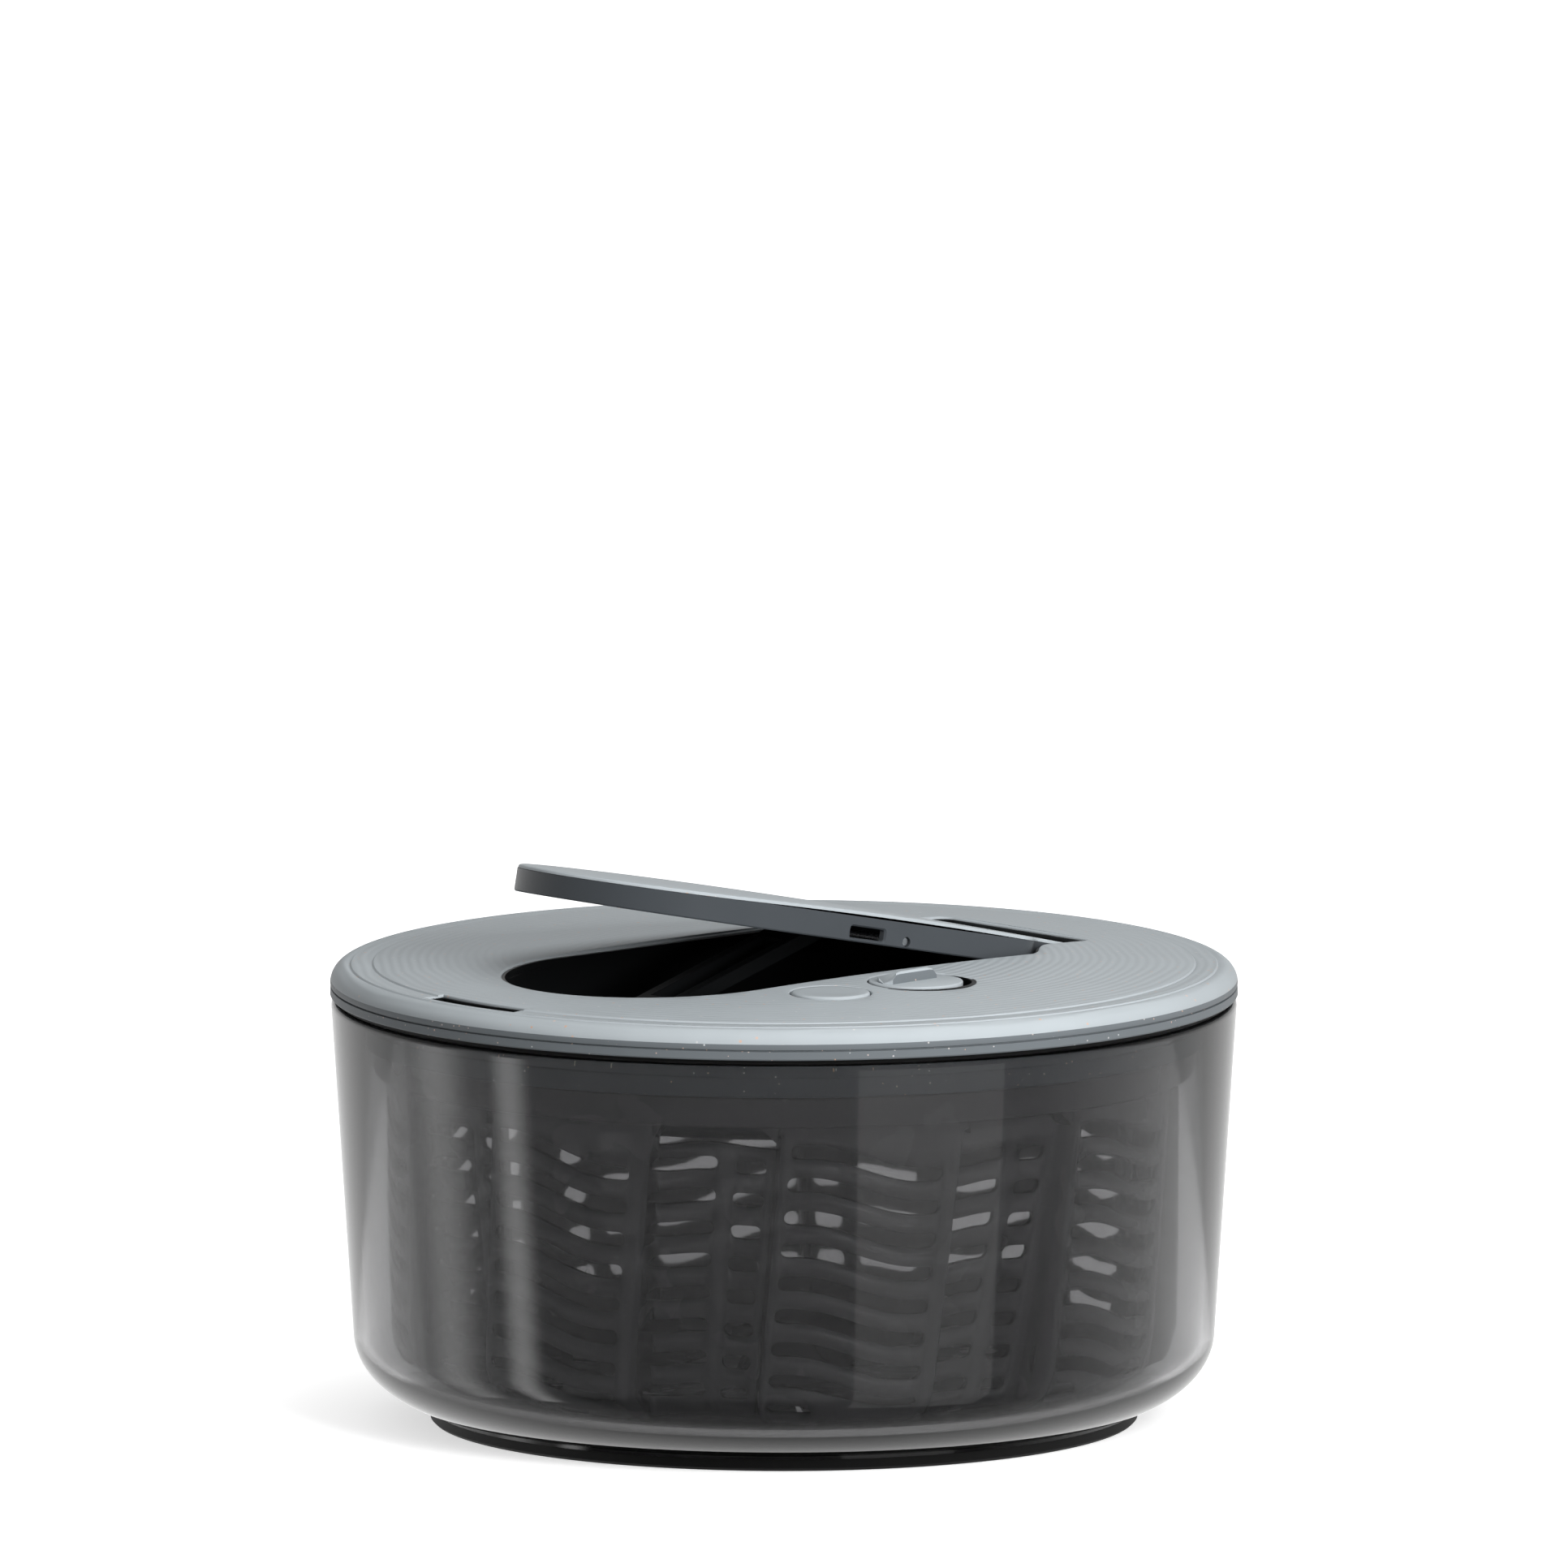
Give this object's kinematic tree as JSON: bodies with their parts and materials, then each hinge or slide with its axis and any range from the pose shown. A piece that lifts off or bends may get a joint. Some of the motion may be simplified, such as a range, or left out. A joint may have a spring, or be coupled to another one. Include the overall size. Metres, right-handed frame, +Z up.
{
  "type": "salad spinner",
  "caption": "Lever-driven salad spinner: clear bowl, slotted basket on a centre cone, and a lid with a press lever, gear drive, brake button and lever lock.",
  "frame": {"origin": "on the table, under the middle of the bowl", "axes": "+Z up; +X toward the lever's hinge; the brake button and the lock knob are on the -Y side"},
  "size_m": [0.2652, 0.2652, 0.1701],
  "materials": {
    "smoke_clear_plastic": "clear smoke-tinted moulding, polished",
    "smoke_grey_plastic": "translucent dark smoke moulding, satin",
    "stone_plastic": "light stone grey, fine texture",
    "slate_plastic": "mid grey, satin",
    "charcoal_plastic": "dark grey, satin",
    "black_plastic": "black, satin",
    "black_rubber": "black, matt",
    "white_acetal": "natural white, waxy",
    "bright_steel": "bright drawn steel"
  },
  "bodies": {
    "base": {"bowl": "smoke_clear_plastic", "foot_ring": "black_rubber"},
    "bush": {"pivot_bush": "white_acetal"},
    "basket": {"basket": "smoke_grey_plastic"},
    "lid": {"lid_cover": "stone_plastic", "lid_gasket": "black_rubber", "well_tray": "black_plastic", "gear_plate": "charcoal_plastic", "tray_screw_1": "bright_steel", "tray_screw_2": "bright_steel", "tray_screw_3": "bright_steel", "tray_screw_4": "bright_steel", "plate_screw_1": "bright_steel", "plate_screw_2": "bright_steel", "plate_screw_3": "bright_steel", "gear_shaft": "bright_steel", "spindle": "bright_steel", "retaining_washer": "bright_steel", "retaining_screw": "bright_steel", "hinge_pin": "bright_steel"},
    "rotor": {"rotor_ring": "slate_plastic", "rotor_pan": "charcoal_plastic", "clutch_cup": "bright_steel"},
    "lever": {"lever_top": "stone_plastic", "lever_frame": "charcoal_plastic", "return_spring": "bright_steel", "arm_pin": "bright_steel"},
    "arm": {"drive_arm": "black_plastic", "arm_foot_pin": "bright_steel"},
    "rack": {"drive_rack": "black_plastic"},
    "wheel": {"drive_wheel": "white_acetal"},
    "clutch": {"clutch_hub": "white_acetal", "clutch_roller_1": "bright_steel", "clutch_roller_2": "bright_steel", "clutch_roller_3": "bright_steel", "clutch_roller_4": "bright_steel"},
    "brake": {"brake_button": "stone_plastic", "brake_pad": "black_rubber", "brake_spring": "bright_steel"},
    "lock": {"lock_knob": "stone_plastic", "lock_latch": "charcoal_plastic", "latch_screw": "bright_steel"}
  },
  "joints": [
    {"name": "basket_lift", "type": "slide", "parent": "base", "child": "bush", "axis": [0, 0, 1], "range_m": [0, 0.155]},
    {"name": "basket_spin", "type": "hinge", "parent": "bush", "child": "basket", "pos_m": [0, 0, 0.0205], "axis": [0, 0, 1], "continuous": true},
    {"name": "lid_lift", "type": "slide", "parent": "bush", "child": "lid", "axis": [0, 0, 1], "range_m": [0, 0.066]},
    {"name": "rotor_spin", "type": "hinge", "parent": "lid", "child": "rotor", "pos_m": [0, 0, 0.097], "axis": [0, 0, 1], "continuous": true},
    {"name": "lever_press", "type": "hinge", "parent": "lid", "child": "lever", "pos_m": [0.08, 0, 0.13064], "axis": [0, 1, 0], "range_deg": [-11.5, 0], "stiffness_Nm_per_rad": 0.9, "springref_deg": 20.05},
    {"name": "arm_swing", "type": "hinge", "parent": "lever", "child": "arm", "pos_m": [0.00928, 0, 0.14416], "axis": [0, 1, 0], "range_deg": [-0.1, 21.68]},
    {"name": "rack_travel", "type": "slide", "parent": "lid", "child": "rack", "axis": [1, 0, 0], "range_m": [-0.00427, 0.00005]},
    {"name": "wheel_turn", "type": "hinge", "parent": "lid", "child": "wheel", "pos_m": [0.03814, -0.00925, 0.109], "axis": [0, 0, 1], "range_deg": [-0.3, 48.61]},
    {"name": "clutch_turn", "type": "hinge", "parent": "lid", "child": "clutch", "pos_m": [0, 0, 0.106], "axis": [0, 0, 1], "range_deg": [-203.92, 1]},
    {"name": "brake_press", "type": "slide", "parent": "lid", "child": "brake", "axis": [0, 0, 1], "range_m": [-0.0025, 0], "stiffness_N_per_m": 600, "springref_m": 0.002},
    {"name": "lock_turn", "type": "hinge", "parent": "lid", "child": "lock", "pos_m": [-0.006, -0.064, 0.133], "axis": [0, 0, 1], "range_deg": [-35, 0]}
  ],
  "couplings": [
    {"joint": "rotor_spin", "follows": "basket_spin", "ratio": 1},
    {"joint": "arm_swing", "follows": "lever_press", "ratio": -1.8764},
    {"joint": "rack_travel", "follows": "lever_press", "m_per_rad": 0.021006},
    {"joint": "wheel_turn", "follows": "lever_press", "ratio": -4.2013},
    {"joint": "clutch_turn", "follows": "lever_press", "ratio": 17.645}
  ]
}
